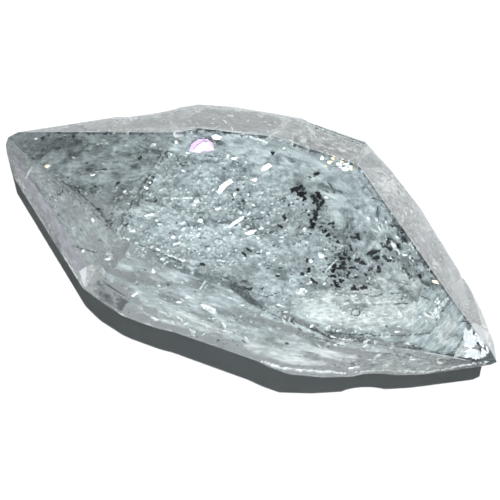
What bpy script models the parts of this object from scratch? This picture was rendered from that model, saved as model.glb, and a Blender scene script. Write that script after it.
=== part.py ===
"""A doubly terminated quartz crystal, lying on one of its prism faces.

The crystal is one solid. Its long axis runs along X and the photographed
side faces up and toward -Y. A block is cut down by one plane for each grown
face, then ledges, chips and pits are cut into those faces.
"""
import math
import random
from dataclasses import dataclass, replace

import bmesh
import bpy
from mathutils import Matrix, Vector

MM = 0.001

# Driving sizes, in millimetres.
BLOCK_SIZE = 60.0
MERGE_GAP = 0.02
CUTTER_HEIGHT = 3.0
STAIR_DROP = 0.05
STAIR_STAGGER = 0.6
CHIP_SIDES = 20
CHIP_RINGS = 12

# A pit's sizes, as shares of its radius where it opens in the face.
PIT_DEPTH = 0.3
PIT_FLOOR = 0.35
PIT_CUTTER_TOP = 1.65
PIT_SPACING = 2.3
PIT_RADIUS_RANGE = (0.6, 1.6)
PIT_STRETCH_RANGE = (1.0, 1.7)
PIT_TURN = 8.0

ROUGHNESS = 0.06
CRYSTAL_COLOR = (0.62, 0.68, 0.70, 1.0)


@dataclass(frozen=True)
class Face:
    """One flat face, given the way a crystal is measured.

    azimuth: degrees about the long axis, 0 up and 90 toward -Y.
    slope: degrees between the face and the long axis.
    end: +1 leans toward the +X tip, -1 toward the -X tip.
    distance: millimetres from the middle of the crystal.
    """
    azimuth: float
    slope: float
    end: int
    distance: float

    def normal(self):
        turn, lean = math.radians(self.azimuth), math.radians(self.slope)
        return Vector((self.end * math.sin(lean),
                       -math.cos(lean) * math.sin(turn),
                       math.cos(lean) * math.cos(turn)))

    def point_at(self, x, y):
        """The face's point over (x, y), for a face that can be seen from above or below."""
        n = self.normal()
        return Vector((x, y, (self.distance - n.x * x - n.y * y) / n.z))

    def axes(self, turn=0.0):
        """A frame on the face: along the long axis, across it, and outward."""
        n = self.normal()
        along = (Vector((1, 0, 0)) - n * n.x).normalized()
        spin = Matrix.Rotation(math.radians(turn), 3, n)
        along = spin @ along
        return along, n.cross(along), n


# The six prism faces. The far upper one is split where the crystal widens.
PRISM = {
    "top": Face(4, 5, 1, 5.95),
    "near_upper": Face(60.5, 1.5, 1, 6.10),
    "near_lower": Face(119.5, 5, 1, 5.90),
    "resting": Face(180, 0, 1, 5.95),
    "far_lower": Face(-121, 4, -1, 6.42),
    "far_upper": Face(-61, 14, -1, 5.95),
    "far_wide": Face(-60, 2.5, -1, 7.15),
}

# The six faces of the point at the -X end, and of the longer one at +X.
LEFT_POINT = {
    "left_top": Face(0, 32.5, -1, 5.45),
    "left_near": Face(54, 34, -1, 5.65),
    "left_near_lower": Face(117, 28, -1, 6.42),
    "left_under": Face(180, 32, -1, 6.90),
    "left_far_lower": Face(-118.5, 28.5, -1, 5.34),
    "left_far": Face(-57, 28.5, -1, 5.40),
}
RIGHT_POINT = {
    "right_top": Face(-2.5, 27, 1, 9.50),
    "right_near": Face(70.5, 28, 1, 10.40),
    "right_near_lower": Face(116.5, 20, 1, 8.90),
    "right_under": Face(180, 30, 1, 13.60),
    "right_far_lower": Face(-116.5, 27.5, 1, 12.95),
    "right_far": Face(-61.5, 35, 1, 11.70),
}

# Narrow faces that blunt the ridges and the two tips.
RIDGES = {
    "left_near_strip": Face(65, 34.5, -1, 5.82),
    "left_tip_near": Face(53, 36.5, -1, 5.92),
    "left_tip_under": Face(151, 62, -1, 9.65),
    "right_tip_top": Face(-2, 31, 1, 10.46),
    "right_tip_end": Face(-1, 35, 1, 11.53),
    "right_tip_far": Face(-66, 41, 1, 13.45),
    "right_tip_under": Face(145, 68.5, 1, 20.40),
    "right_tip_near": Face(125, 29, 1, 11.18),
    "far_corner": Face(-63, 30, 1, 11.27),
    "near_corner_under": Face(98.5, 10.5, -1, 6.58),
}


@dataclass(frozen=True)
class Ledge:
    """A flat cut with square ends: the floor is a face, the footprint a rectangle on it.

    center is the footprint's middle seen from above, in millimetres.
    """
    floor: Face
    center: tuple
    turn: float
    length: float
    width: float


LEDGES = {
    "near_shoulder": Ledge(Face(36, 6, 1, 6.76), (3.3, -3.95), -1, 9.3, 3.2),
    "corner_bright": Ledge(Face(63, 33, -1, 5.76), (-2.56, -5.75), 21, 3.6, 3.7),
    "corner_dark": Ledge(Face(58.5, 4.5, -1, 5.85), (-0.87, -6.65), -16, 3.2, 3.8),
}


@dataclass(frozen=True)
class Scoop:
    """A shell-shaped chip: a flattened ball that bites into an edge."""
    center: tuple
    radii: tuple
    tilt: tuple = (0.0, 0.0, 0.0)


SCOOPS = {
    "near_edge": Scoop((15.3, -4.4, -0.3), (1.6, 0.6, 1.2), (0, 0, 29)),
    "far_notch": Scoop((17.9, 4.2, -3.8), (0.2, 0.35, 1.0), (0, 0, -51)),
    "left_ridge": Scoop((-3.5, 5.65, 0.5), (2.6, 1.0, 1.4), (0, 0, 35)),
    "lower_edge": Scoop((4.5, -3.9, -6.6), (2.2, 1.1, 0.9), (0, 0, 6)),
    "far_edge": Scoop((9.5, 4.2, -6.7), (1.7, 1.3, 1.0), (0, 0, -12)),
}


@dataclass(frozen=True)
class PitField:
    """Small growth pits strewn over part of one face."""
    face: Face
    center: tuple
    spread: tuple
    count: int
    sides: int
    radius: float


PIT_FIELDS = {
    "left_top": PitField(LEFT_POINT["left_top"], (-4.0, 0.4), (3.2, 1.6), 7, 3, 0.22),
    "left_near": PitField(LEFT_POINT["left_near"], (-3.6, -3.2), (1.9, 1.2), 6, 3, 0.20),
    "top": PitField(PRISM["top"], (5.2, 0.4), (5.6, 2.4), 12, 4, 0.20),
    "near_upper": PitField(PRISM["near_upper"], (6.2, -5.4), (4.0, 0.8), 7, 4, 0.18),
    "right_top": PitField(RIGHT_POINT["right_top"], (13.6, 0.6), (2.6, 2.0), 9, 3, 0.22),
    "right_near": PitField(RIGHT_POINT["right_near"], (15.0, -3.4), (1.8, 0.6), 4, 3, 0.16),
    "near_lower": PitField(PRISM["near_lower"], (4.5, -5.2), (4.5, 0.7), 6, 4, 0.22),
    "far_lower": PitField(PRISM["far_lower"], (6.0, 6.0), (4.5, 0.7), 6, 4, 0.22),
    "left_under": PitField(LEFT_POINT["left_under"], (-4.4, 0.0), (1.8, 1.4), 5, 3, 0.24),
    "right_under": PitField(RIGHT_POINT["right_under"], (16.0, 0.4), (2.2, 1.4), 6, 3, 0.24),
}
PIT_SEED = 12


@dataclass(frozen=True)
class Striation:
    """Stairs of low ledges that run along a prism face."""
    face: Face
    center: tuple
    turn: float
    length: float
    width: float
    steps: int


STRIATIONS = {
    "far_wide": Striation(PRISM["far_wide"], (7.6, 7.75), 1.0, 4.6, 0.45, 4),
    "near_lower": Striation(PRISM["near_lower"], (6.0, -6.35), -2.0, 6.5, 0.5, 3),
    "far_lower": Striation(PRISM["far_lower"], (4.0, 6.7), 2.0, 7.0, 0.5, 3),
}


def clear_scene():
    """Remove the objects that a new file starts with."""
    for old in list(bpy.data.objects):
        bpy.data.objects.remove(old, do_unlink=True)


def quartz_material():
    """Clear, faintly blue-grey quartz."""
    material = bpy.data.materials.new("clear_quartz")
    material.use_nodes = True
    shader = material.node_tree.nodes["Principled BSDF"]
    shader.inputs["Base Color"].default_value = CRYSTAL_COLOR
    shader.inputs["Roughness"].default_value = ROUGHNESS
    shader.inputs["Metallic"].default_value = 0.0
    return material


def cut_to_face(bm, face):
    """Cut away all that lies outside one face and close the cut."""
    n = face.normal()
    everything = bm.verts[:] + bm.edges[:] + bm.faces[:]
    bmesh.ops.bisect_plane(bm, geom=everything, plane_co=n * face.distance * MM,
                           plane_no=n, clear_outer=True)
    rim = [edge for edge in bm.edges if edge.is_boundary]
    bmesh.ops.holes_fill(bm, edges=rim)


def grown_block():
    """The crystal's flat-faced form, before any ledge, chip or pit."""
    bm = bmesh.new()
    bmesh.ops.create_cube(bm, size=BLOCK_SIZE * MM)
    for group in (PRISM, LEFT_POINT, RIGHT_POINT, RIDGES):
        for face in group.values():
            cut_to_face(bm, face)
    bmesh.ops.remove_doubles(bm, verts=bm.verts, dist=MERGE_GAP * MM)
    bmesh.ops.recalc_face_normals(bm, faces=bm.faces)
    mesh = bpy.data.meshes.new("crystal")
    bm.to_mesh(mesh)
    bm.free()
    return mesh


def resting_origin(mesh):
    """An empty whose place puts the crystal's lowest face on the ground, centred."""
    corners = [v.co for v in mesh.vertices]
    low = Vector([min(c[i] for c in corners) for i in range(3)])
    high = Vector([max(c[i] for c in corners) for i in range(3)])
    origin = bpy.data.objects.new("resting_origin", None)
    origin.location = (-(low.x + high.x) / 2, -(low.y + high.y) / 2, -low.z)
    bpy.context.collection.objects.link(origin)
    return origin


def add_object(name, mesh, origin):
    """Put a mesh in the scene, in the crystal's own frame."""
    thing = bpy.data.objects.new(name, mesh)
    bpy.context.collection.objects.link(thing)
    thing.parent = origin
    return thing


def cut_with(crystal, cutter):
    """Take a closed cutter away from the crystal."""
    cutter.hide_render = True
    cutter.display_type = "WIRE"
    cut = crystal.modifiers.new(cutter.name, "BOOLEAN")
    cut.operation = "DIFFERENCE"
    cut.solver = "EXACT"
    cut.object = cutter


def placed(along, across, outward, at):
    """The matrix of a frame that stands at a point given in millimetres."""
    turn = Matrix((along, across, outward)).transposed().to_4x4()
    return Matrix.Translation(Vector(at) * MM) @ turn


def block_mesh(name, parts):
    """One mesh of several boxes, each a size in millimetres and a matrix."""
    bm = bmesh.new()
    for size, matrix in parts:
        made = bmesh.ops.create_cube(bm, size=1.0)["verts"]
        bmesh.ops.scale(bm, vec=Vector(size) * MM, verts=made)
        bmesh.ops.transform(bm, matrix=matrix, verts=made)
    mesh = bpy.data.meshes.new(name)
    bm.to_mesh(mesh)
    bm.free()
    return mesh


def ledge_box(floor, center, turn, length, width):
    """A box that stands on a floor face and reaches out past the surface."""
    along, across, outward = floor.axes(turn)
    middle = floor.point_at(*center) + outward * (CUTTER_HEIGHT / 2)
    return (length, width, CUTTER_HEIGHT), placed(along, across, outward, middle)


def add_ledges(crystal, origin):
    """The broad shoulder on the near side and the two small corner facets."""
    for name, ledge in LEDGES.items():
        box = ledge_box(ledge.floor, ledge.center, ledge.turn, ledge.length, ledge.width)
        cut_with(crystal, add_object("cut_" + name, block_mesh(name, [box]), origin))


def add_striations(crystal, origin):
    """Each stair goes one step deeper than the last, toward the face's outer edge."""
    for name, stair in STRIATIONS.items():
        for step in range(stair.steps):
            floor = replace(stair.face, distance=stair.face.distance - STAIR_DROP * (step + 1))
            length = stair.length - STAIR_STAGGER * step
            width = 2 * stair.width * (stair.steps - step)
            box = ledge_box(floor, stair.center, stair.turn, length, width)
            label = "stair_%s_%d" % (name, step)
            cut_with(crystal, add_object("cut_" + label, block_mesh(label, [box]), origin))


def add_scoops(crystal, origin):
    """Shell-shaped chips along the edges."""
    for name, scoop in SCOOPS.items():
        bm = bmesh.new()
        bmesh.ops.create_uvsphere(bm, u_segments=CHIP_SIDES, v_segments=CHIP_RINGS, radius=1.0)
        bmesh.ops.scale(bm, vec=Vector(scoop.radii) * MM, verts=bm.verts)
        mesh = bpy.data.meshes.new(name)
        bm.to_mesh(mesh)
        bm.free()
        chip = add_object("cut_chip_" + name, mesh, origin)
        chip.location = Vector(scoop.center) * MM
        chip.rotation_euler = [math.radians(a) for a in scoop.tilt]
        cut_with(crystal, chip)


def pit_spots(field, rng):
    """Places and sizes of the pits in a field, none of them touching another."""
    spots = []
    while len(spots) < field.count:
        x = field.center[0] + field.spread[0] * rng.uniform(-1, 1)
        y = field.center[1] + field.spread[1] * rng.uniform(-1, 1)
        radius = field.radius * rng.uniform(*PIT_RADIUS_RANGE)
        if all(math.dist((x, y), (a, b)) > PIT_SPACING * (radius + r) for a, b, r in spots):
            spots.append((x, y, radius))
    return spots


def add_pits(crystal, origin):
    """Blunt three- and four-sided growth pits, all in one cutter."""
    rng = random.Random(PIT_SEED)
    bm = bmesh.new()
    for field in PIT_FIELDS.values():
        for x, y, radius in pit_spots(field, rng):
            frame = field.face.axes(rng.uniform(-PIT_TURN, PIT_TURN))
            middle = field.face.point_at(x, y)
            made = bmesh.ops.create_cone(bm, cap_ends=True, segments=field.sides,
                                         radius1=PIT_FLOOR * radius * MM,
                                         radius2=PIT_CUTTER_TOP * radius * MM,
                                         depth=2 * PIT_DEPTH * radius * MM)["verts"]
            bmesh.ops.scale(bm, vec=(rng.uniform(*PIT_STRETCH_RANGE), 1, 1), verts=made)
            bmesh.ops.transform(bm, matrix=placed(*frame, middle), verts=made)
    mesh = bpy.data.meshes.new("pits")
    bm.to_mesh(mesh)
    bm.free()
    cut_with(crystal, add_object("cut_pits", mesh, origin))


def main():
    clear_scene()
    mesh = grown_block()
    origin = resting_origin(mesh)
    crystal = add_object("crystal", mesh, origin)
    crystal.data.materials.append(quartz_material())
    add_ledges(crystal, origin)
    add_striations(crystal, origin)
    add_scoops(crystal, origin)
    add_pits(crystal, origin)


main()
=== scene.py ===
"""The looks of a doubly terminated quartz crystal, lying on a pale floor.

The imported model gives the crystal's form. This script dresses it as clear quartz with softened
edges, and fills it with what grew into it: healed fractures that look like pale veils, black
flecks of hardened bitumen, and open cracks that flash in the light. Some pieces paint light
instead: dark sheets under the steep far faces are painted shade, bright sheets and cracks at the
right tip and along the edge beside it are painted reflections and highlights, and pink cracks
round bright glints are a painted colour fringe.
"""

import logging
import math
import random
from dataclasses import dataclass, field
from enum import Enum
from typing import Iterable, Sequence

import bmesh
import bpy
from bmesh.types import BMesh, BMVert
from bpy.types import Collection, Material, Mesh, Node, NodeSocket, NodeTree, Object
from mathutils import Matrix, Vector, noise
from mathutils.bvhtree import BVHTree


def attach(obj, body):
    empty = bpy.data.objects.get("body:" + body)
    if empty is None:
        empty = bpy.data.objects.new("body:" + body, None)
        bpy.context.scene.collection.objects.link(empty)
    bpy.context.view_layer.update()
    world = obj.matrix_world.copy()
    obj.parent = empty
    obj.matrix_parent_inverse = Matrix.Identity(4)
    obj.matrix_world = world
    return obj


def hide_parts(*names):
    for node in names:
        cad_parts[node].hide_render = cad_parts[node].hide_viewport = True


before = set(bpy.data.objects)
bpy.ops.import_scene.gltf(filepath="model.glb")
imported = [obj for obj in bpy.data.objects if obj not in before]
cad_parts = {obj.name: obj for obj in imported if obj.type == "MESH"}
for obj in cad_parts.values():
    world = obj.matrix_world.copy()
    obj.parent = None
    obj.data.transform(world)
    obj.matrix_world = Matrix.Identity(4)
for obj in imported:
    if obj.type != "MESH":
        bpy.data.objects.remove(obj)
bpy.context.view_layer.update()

# The photograph is PICTURE_SIDE pixels wide and high, and a pixel spans PIXEL_MM at the crystal.
MM = 0.001
PICTURE_SIDE = 500
PIXEL_MM = 0.0591
QUARTZ_IOR = 1.544

Colour = tuple[float, float, float, float]
Triple = tuple[float, float, float]
Pair = tuple[float, float]
# A Spot is a place or a size in the photograph's pixels, and a Span is the least and the most.
Spot = tuple[float, float]
Span = tuple[float, float]
log = logging.getLogger("crystal")


def linear(srgb_hex: str) -> Colour:
    """Turn an sRGB hex colour into the linear colour that a shader takes.

    Args:
        srgb_hex: six hex digits with a leading #.

    Returns:
        Red, green, blue and an alpha of one.
    """
    channels = [int(srgb_hex[i:i + 2], 16) / 255 for i in (1, 3, 5)]
    light = [c / 12.92 if c <= 0.04045 else ((c + 0.055) / 1.055) ** 2.4 for c in channels]
    return light[0], light[1], light[2], 1.0


def add_node(tree: NodeTree, kind: str, options: dict | None = None, values: dict | None = None,
             links: dict | None = None) -> Node:
    """Add one node with its settings and links.

    Args:
        tree: the node tree that gets it.
        kind: the node's type, such as ShaderNodeTexNoise.
        options: the node's own settings by name.
        values: what to set unlinked inputs to, by the input's name or number.
        links: the outputs to link in, by the input's name or number.

    Returns:
        The new node.
    """
    node = tree.nodes.new(kind)
    for name, value in (options or {}).items():
        setattr(node, name, value)
    for name, value in (values or {}).items():
        node.inputs[name].default_value = value
    for name, output in (links or {}).items():
        tree.links.new(output, node.inputs[name])
    return node


def new_material(name: str) -> tuple[Material, NodeTree, Node]:
    """Make an empty material.

    Args:
        name: the material's name.

    Returns:
        The material, its node tree and its output node.
    """
    material = bpy.data.materials.new(name)
    material.use_nodes = True
    tree = material.node_tree
    tree.nodes.clear()
    return material, tree, add_node(tree, "ShaderNodeOutputMaterial")


def colour_ramp(tree: NodeTree, factor: NodeSocket, stops: Sequence[tuple[float, str]]) -> NodeSocket:
    """Map a factor to colours.

    Args:
        tree: the node tree.
        factor: the output that drives the ramp.
        stops: places from zero to one, each with its sRGB hex colour.

    Returns:
        The ramp's colour output.
    """
    ramp = add_node(tree, "ShaderNodeValToRGB", links={0: factor})
    elements = ramp.color_ramp.elements
    while len(elements) < len(stops):
        elements.new(0.5)
    for element, (place, colour) in zip(elements, stops):
        element.position = place
        element.color = linear(colour)
    return ramp.outputs[0]


def noise_at(tree: NodeTree, place: NodeSocket, size_mm: float, detail: float, **more: float) -> NodeSocket:
    """Add fractal noise with patches of one size, and return its output."""
    values = {"Scale": 1 / (size_mm * MM), "Detail": detail, **more}
    return add_node(tree, "ShaderNodeTexNoise", values=values, links={"Vector": place}).outputs["Fac"]


def mapped(tree: NodeTree, factor: NodeSocket, source: Span, target: Span = (0.0, 1.0),
           smooth: bool = False) -> NodeSocket:
    """Map one range of values to another.

    Args:
        tree: the node tree.
        factor: the output to map.
        source: the ends of its range.
        target: what they turn into.
        smooth: whether both ends ease in.

    Returns:
        The mapped output.
    """
    values = {"From Min": source[0], "From Max": source[1], "To Min": target[0], "To Max": target[1]}
    options = {"interpolation_type": "SMOOTHSTEP" if smooth else "LINEAR"}
    return add_node(tree, "ShaderNodeMapRange", options, values, {"Value": factor}).outputs["Result"]


def maths(tree: NodeTree, operation: str, *terms: float | NodeSocket) -> NodeSocket:
    """Add one step of arithmetic.

    Args:
        tree: the node tree.
        operation: the node's operation, such as ADD.
        terms: numbers and outputs, in the order of the node's inputs.

    Returns:
        The result's output.
    """
    values = {i: term for i, term in enumerate(terms) if isinstance(term, float)}
    links = {i: term for i, term in enumerate(terms) if not isinstance(term, float)}
    return add_node(tree, "ShaderNodeMath", {"operation": operation}, values, links).outputs[0]


def either(tree: NodeTree, factor: NodeSocket, off: NodeSocket, on: NodeSocket) -> NodeSocket:
    """Choose one shader where a factor is zero, and another where it is one."""
    return add_node(tree, "ShaderNodeMixShader", links={0: factor, 1: off, 2: on}).outputs[0]


def grained_material(name: str, grain_mm: float, detail: float, stops: Sequence[tuple[float, str]],
                     values: dict[str, float]) -> Material:
    """Make an opaque material whose colour varies with a fine grain.

    Args:
        name: the material's name.
        grain_mm: the grain's size.
        detail: how many finer layers the grain has.
        stops: values of the grain, each with its sRGB hex colour.
        values: the shader's other inputs by name.

    Returns:
        The material.
    """
    material, tree, output = new_material(name)
    place = add_node(tree, "ShaderNodeTexCoord").outputs["Object"]
    colour = colour_ramp(tree, noise_at(tree, place, grain_mm, detail), stops)
    shader = add_node(tree, "ShaderNodeBsdfPrincipled", values=values, links={"Base Color": colour})
    tree.links.new(shader.outputs["BSDF"], output.inputs["Surface"])
    return material


@dataclass(frozen=True)
class GrownQuartz:
    """Clear quartz with the faces it grew with.

    Natural faces are glossy but not optically flat: broad swells, fine etch marks and low growth
    steps bend what is seen through them, so the inside looks broken up and a little milky.
    """
    body_tint: str = "#C6CFCF"
    absorption_per_metre: float = 25.0
    roughness: Span = (0.02, 0.12)
    dull_mm: float = 0.8
    dull_range: Span = (0.42, 0.7)
    swell_mm: float = 2.2
    swell_height_mm: float = 0.020
    etch_mm: float = 0.35
    etch_height_mm: float = 0.0032
    step_mm: float = 0.9
    step_height_mm: float = 0.006
    step_edge: float = 0.08

    def relief(self, tree: NodeTree, place: NodeSocket) -> NodeSocket:
        """Add the surface's height in metres.

        Args:
            tree: the node tree.
            place: the object's own coordinates.

        Returns:
            The height output.
        """
        swell = noise_at(tree, place, self.swell_mm, 2.0)
        etch = noise_at(tree, place, self.etch_mm, 4.0)
        cells = add_node(tree, "ShaderNodeTexVoronoi", {"feature": "DISTANCE_TO_EDGE"},
                         {"Scale": 1 / (self.step_mm * MM)}, {"Vector": place})
        steps = mapped(tree, cells.outputs["Distance"], (0.0, self.step_edge), smooth=True)
        height = maths(tree, "MULTIPLY", swell, self.swell_height_mm * MM)
        for source, height_mm in ((etch, self.etch_height_mm), (steps, self.step_height_mm)):
            height = maths(tree, "MULTIPLY_ADD", source, height_mm * MM, height)
        return height

    def material(self) -> Material:
        """Make the material."""
        material, tree, output = new_material("grown_quartz")
        place = add_node(tree, "ShaderNodeTexCoord").outputs["Object"]
        bump = add_node(tree, "ShaderNodeBump", values={"Strength": 1.0, "Distance": 1.0},
                        links={"Height": self.relief(tree, place)})
        dull = mapped(tree, noise_at(tree, place, self.dull_mm, 5.0), self.dull_range, self.roughness)
        shader = add_node(tree, "ShaderNodeBsdfPrincipled",
                          values={"Base Color": linear("#FFFFFF"), "Transmission Weight": 1.0,
                                  "IOR": QUARTZ_IOR},
                          links={"Roughness": dull, "Normal": bump.outputs["Normal"]})
        volume = add_node(tree, "ShaderNodeVolumeAbsorption",
                          values={"Color": linear(self.body_tint), "Density": self.absorption_per_metre})
        tree.links.new(shader.outputs["BSDF"], output.inputs["Surface"])
        tree.links.new(volume.outputs["Volume"], output.inputs["Volume"])
        return material


class Frost(Enum):
    """How a healed fracture scatters the light, by its dull and its pale parts; the last one is painted
    shade.
    """
    WHITE = ("#BBC3C4", "#FFFFFF")
    BLUE = ("#A2ADB2", "#E4EBED")
    GREY = ("#6B7475", "#C0C8C7")
    SMOKE = ("#1E2427", "#5C6566")
    LAVENDER = ("#93929F", "#D0CEDB")
    # Painted shade: dark sheets under the steep far faces, where they look dark, not a frost of its own.
    DUSK = ("#1F3237", "#64818A")


@dataclass(frozen=True)
class HealedFracture:
    """A fracture that healed with tiny films of gas and liquid caught in it.

    Each film scatters the light, so together they look like a veil of frost, thick in some places
    and open in others. The single films are too fine to show, so the grain is drawn coarser.
    """
    frost: Frost
    roughness: float = 0.5
    ior: float = 1.3
    grain_mm: float = 0.16
    wisp_mm: float = 0.55
    wisp_roughness: float = 0.62
    cover_range: Span = (0.3, 1.1)
    most_alpha: float = 0.85

    def material(self) -> Material:
        """Make the material."""
        material, tree, output = new_material("healed_fracture_" + self.frost.name.lower())
        place = add_node(tree, "ShaderNodeAttribute", {"attribute_name": "lie"}).outputs["Vector"]
        thick = add_node(tree, "ShaderNodeAttribute", {"attribute_name": "thickness"}).outputs["Fac"]
        wisp = noise_at(tree, place, self.wisp_mm, 5.0, Roughness=self.wisp_roughness)
        cover = maths(tree, "ADD", thick, mapped(tree, wisp, (0.3, 0.7), (-0.5, 0.5)))
        alpha = mapped(tree, cover, self.cover_range, (0.0, self.most_alpha), smooth=True)
        dull, pale = self.frost.value
        colour = colour_ramp(tree, noise_at(tree, place, self.grain_mm, 3.0), ((0.36, dull), (0.66, pale)))
        shader = add_node(tree, "ShaderNodeBsdfPrincipled",
                          values={"Roughness": self.roughness, "IOR": self.ior},
                          links={"Base Color": colour, "Alpha": alpha})
        tree.links.new(shader.outputs["BSDF"], output.inputs["Surface"])
        return material


@dataclass(frozen=True)
class GasFilm:
    """A flat bubble of gas in a healed fracture. It shows as a speck, bright, dull or dark."""
    frost: Frost
    grain_mm: float = 0.2
    roughness: float = 0.4
    metallic: float = 0.1

    def material(self) -> Material:
        """Make the material."""
        dull, pale = self.frost.value
        return grained_material("gas_film_" + self.frost.name.lower(), self.grain_mm, 2.0,
                                ((0.38, dull), (0.6, pale)),
                                {"Roughness": self.roughness, "Metallic": self.metallic})


@dataclass(frozen=True)
class HardenedBitumen:
    """Anthraxolite: hydrocarbon that hardened to a black glassy solid in the crystal's growth.

    It is nearly black with a weak blue-grey shine, and matt where it is granular.
    """
    black: str = "#020304"
    grey: str = "#12161C"
    roughness: float = 0.3
    ior: float = 1.62
    shine: float = 0.25
    grain_mm: float = 0.12

    def material(self) -> Material:
        """Make the material."""
        return grained_material("hardened_bitumen", self.grain_mm, 3.0,
                                ((0.4, self.black), (0.7, self.grey)),
                                {"Roughness": self.roughness, "IOR": self.ior,
                                 "Specular IOR Level": self.shine})


class Flash(Enum):
    """The pale and the deep tint that a crack's thin film of air gives the light; PINK paints a colour
    fringe.
    """
    SILVER = ("#FFFFFF", "#F4F8FF")
    BLUE = ("#F2F7FF", "#DDEBFF")
    PINK = ("#CBA9CF", "#A27CAA")
    AMBER = ("#FFF4E4", "#FFD29A")


@dataclass(frozen=True)
class OpenCrack:
    """A crack that is still open holds a film of air, which throws light back like silver foil."""
    flash: Flash
    grain_mm: float = 0.1
    roughness: float = 0.35
    metallic: float = 0.2

    def material(self) -> Material:
        """Make the material."""
        pale, deep = self.flash.value
        return grained_material("open_crack_" + self.flash.name.lower(), self.grain_mm, 2.0,
                                ((0.3, pale), (0.7, deep)),
                                {"Roughness": self.roughness, "Metallic": self.metallic})


@dataclass(frozen=True)
class PaintedBoard:
    """Matt white painted board, the studio's floor. Its rolled paint has a barely visible grain."""
    low: str = "#EEF0F1"
    high: str = "#F6F7F8"
    grain_mm: float = 3.0
    roughness: float = 0.9

    def material(self) -> Material:
        """Make the material."""
        return grained_material("painted_board", self.grain_mm, 3.0,
                                ((0.3, self.low), (0.7, self.high)), {"Roughness": self.roughness})


@dataclass
class Viewpoint:
    """The photograph's camera, and where each of its pixels falls inside the crystal."""
    azimuth: float = 23.5
    elevation: float = 78.0
    aim_mm: Triple = (0.09, -0.97, 5.45)
    distance_mm: float = 98.6
    lens_mm: float = 120.0
    sensor_mm: float = 36.0
    nearest_mm: float = 5.0
    step_in_mm: float = 0.02
    margin_mm: float = 0.05
    shape: BVHTree = field(init=False)

    def __post_init__(self) -> None:
        """Read the crystal's surface from the frame."""
        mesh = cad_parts["crystal"].data
        self.shape = BVHTree.FromPolygons([v.co.copy() for v in mesh.vertices],
                                          [tuple(p.vertices) for p in mesh.polygons])

    def axes(self) -> tuple[Vector, Vector, Vector]:
        """Return the camera's right and up, and the way back toward it."""
        turn, rise = math.radians(self.azimuth), math.radians(self.elevation)
        right = Vector((math.cos(turn), math.sin(turn), 0))
        back = Vector((math.sin(turn) * math.cos(rise), -math.cos(turn) * math.cos(rise), math.sin(rise)))
        return right, back.cross(right), back

    def eye(self) -> Vector:
        """Return the camera's place."""
        return (Vector(self.aim_mm) + self.axes()[2] * self.distance_mm) * MM

    def place_camera(self) -> None:
        """Make the camera and make it the scene's own."""
        data = bpy.data.cameras.new("camera")
        data.lens = self.lens_mm
        data.sensor_width = self.sensor_mm
        data.clip_start = self.nearest_mm * MM
        camera = bpy.data.objects.new("camera", data)
        bpy.context.scene.collection.objects.link(camera)
        camera.matrix_world = Matrix.Translation(self.eye()) @ Matrix(self.axes()).transposed().to_4x4()
        bpy.context.scene.camera = camera

    def sight(self, place: Spot) -> tuple[Vector, Vector] | None:
        """Follow the line of sight of one pixel into the crystal.

        Args:
            place: the pixel.

        Returns:
            Where the line enters and its bent direction inside, or None if it misses.
        """
        right, up, back = self.axes()
        reach = self.lens_mm / self.sensor_mm * PICTURE_SIDE
        middle = PICTURE_SIDE / 2
        line = (right * (place[0] - middle) + up * (middle - place[1]) - back * reach).normalized()
        point, normal, _, _ = self.shape.ray_cast(self.eye(), line)
        if point is None:
            return None
        ratio, facing = 1 / QUARTZ_IOR, -line.dot(normal)
        bent = line * ratio + normal * (ratio * facing - math.sqrt(1 - ratio ** 2 * (1 - facing ** 2)))
        return point, bent.normalized()

    def inside(self, place: Spot, depth_mm: float, share: float = 0.5) -> Vector | None:
        """Return the point that shows at a pixel, so deep along the bent line of sight.

        Args:
            place: the pixel.
            depth_mm: how deep.
            share: the most of the crystal's thickness there that the depth may take up.

        Returns:
            The point, or None if it isn't inside the crystal.
        """
        seen = self.sight(place)
        if seen is None:
            return None
        point, line = seen
        thickness = self.shape.ray_cast(point + line * self.step_in_mm * MM, line)[3] or 0.0
        spot = point + line * min(depth_mm * MM, share * thickness)
        return spot if self.clear(spot) else None

    def on_plane(self, place: Spot, through: Vector, facing: Vector) -> Vector | None:
        """Return the point of a plane in the crystal that shows at a pixel.

        Args:
            place: the pixel.
            through: a point of the plane.
            facing: the plane's normal.

        Returns:
            The point, or None if it isn't inside the crystal.
        """
        seen = self.sight(place)
        if seen is None:
            return None
        point, line = seen
        spot = point + line * ((through - point).dot(facing) / line.dot(facing))
        return spot if self.clear(spot) else None

    def clear(self, spot: Vector) -> bool:
        """Say whether a point is inside the crystal and clear of its surface."""
        near, normal, _, distance = self.shape.find_nearest(spot)
        return (spot - near).dot(normal) < 0 and distance > self.margin_mm * MM


VIEW = Viewpoint()
SIDES = (Viewpoint(azimuth=0.0, elevation=-8.0), Viewpoint(azimuth=180.0, elevation=-8.0),
         Viewpoint(azimuth=180.0, elevation=35.0), Viewpoint(azimuth=90.0, elevation=5.0),
         Viewpoint(azimuth=270.0, elevation=5.0), Viewpoint(azimuth=0.0, elevation=-80.0))


def turned(middle: Spot, along: float, across: float, angle: float) -> Spot:
    """Return a point of the picture by its place on axes through a middle, turned clockwise."""
    return (middle[0] + along * math.cos(angle) - across * math.sin(angle),
            middle[1] + along * math.sin(angle) + across * math.cos(angle))


def ragged_circle(corners: int, rng: random.Random, slip: float = 0.25,
                  reach: Span = (0.65, 1.1)) -> list[Pair]:
    """Return a ragged rim about a circle of radius one.

    Args:
        corners: how many corners it has.
        rng: the source of its raggedness.
        slip: how far a corner slips along the rim, as a share of the way to the next one.
        reach: the least and the most of its distance from the middle.

    Returns:
        Each corner's turn in radians and its distance from the middle.
    """
    rim = []
    for i in range(corners):
        turn = 2 * math.pi * (i + rng.uniform(-slip, slip)) / corners
        rim.append((turn, rng.uniform(*reach)))
    return rim


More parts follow.
